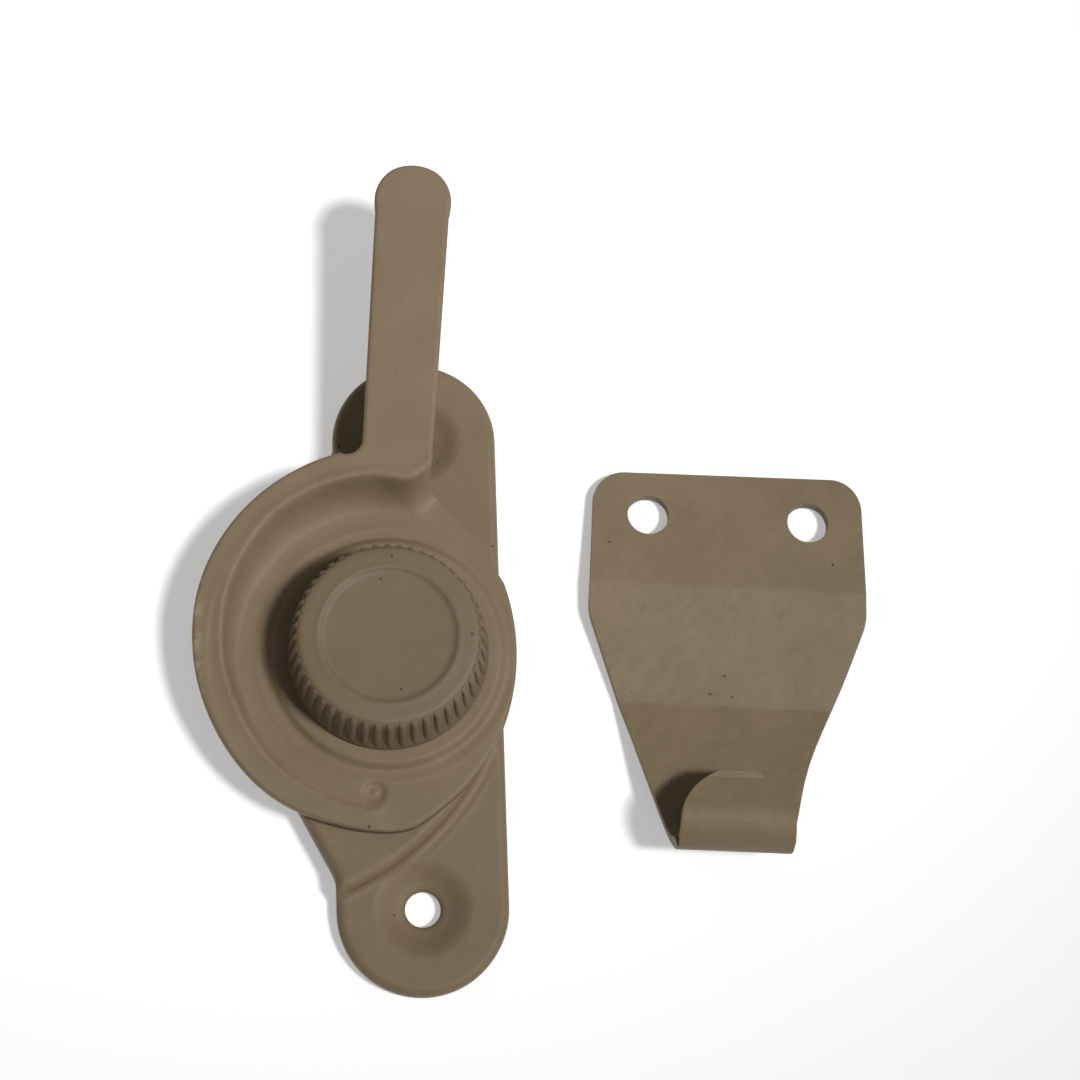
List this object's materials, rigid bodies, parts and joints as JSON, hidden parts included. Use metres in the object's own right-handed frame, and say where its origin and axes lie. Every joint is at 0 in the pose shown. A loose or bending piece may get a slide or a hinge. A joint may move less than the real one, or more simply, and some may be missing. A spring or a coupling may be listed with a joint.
{
  "type": "window lock",
  "caption": "Crescent window lock with a turning cam and lever, a clamping dial on its pivot, and a bent keeper plate whose hook the cam's rim draws in.",
  "frame": {"origin": "the pivot axis of the lever, where it meets the mounting plane under the base", "axes": "+Z out of the mounting surface along the pivot axis, +Y up the window along the line of the base screws, +X towards the keeper"},
  "size_m": [0.0861, 0.1026, 0.0181],
  "materials": {
    "bronze_paint": "semi-gloss stoved bronze paint with a fine orange peel, worn pale on the rim's edge",
    "bright_steel": "zinc plated",
    "washer_polymer": "smooth nylon"
  },
  "bodies": {
    "base": {"base_plate": "bronze_paint", "pivot_stud": "bright_steel", "thrust_washer": "washer_polymer", "keyed_washer": "bright_steel", "keeper": "bronze_paint"},
    "cam": {"cam_lever": "bronze_paint", "spring_washer": "bright_steel"},
    "dial": {"lock_dial": "bronze_paint"}
  },
  "joints": [
    {"name": "lever_turn", "type": "hinge", "parent": "base", "child": "cam", "pos_m": [0, 0, 0.00725], "axis": [0, 0, 1], "range_deg": [-180, 0]},
    {"name": "dial_turn", "type": "hinge", "parent": "base", "child": "dial", "pos_m": [0, 0, 0.0135], "axis": [0, 0, 1], "range_deg": [0, 90]}
  ]
}
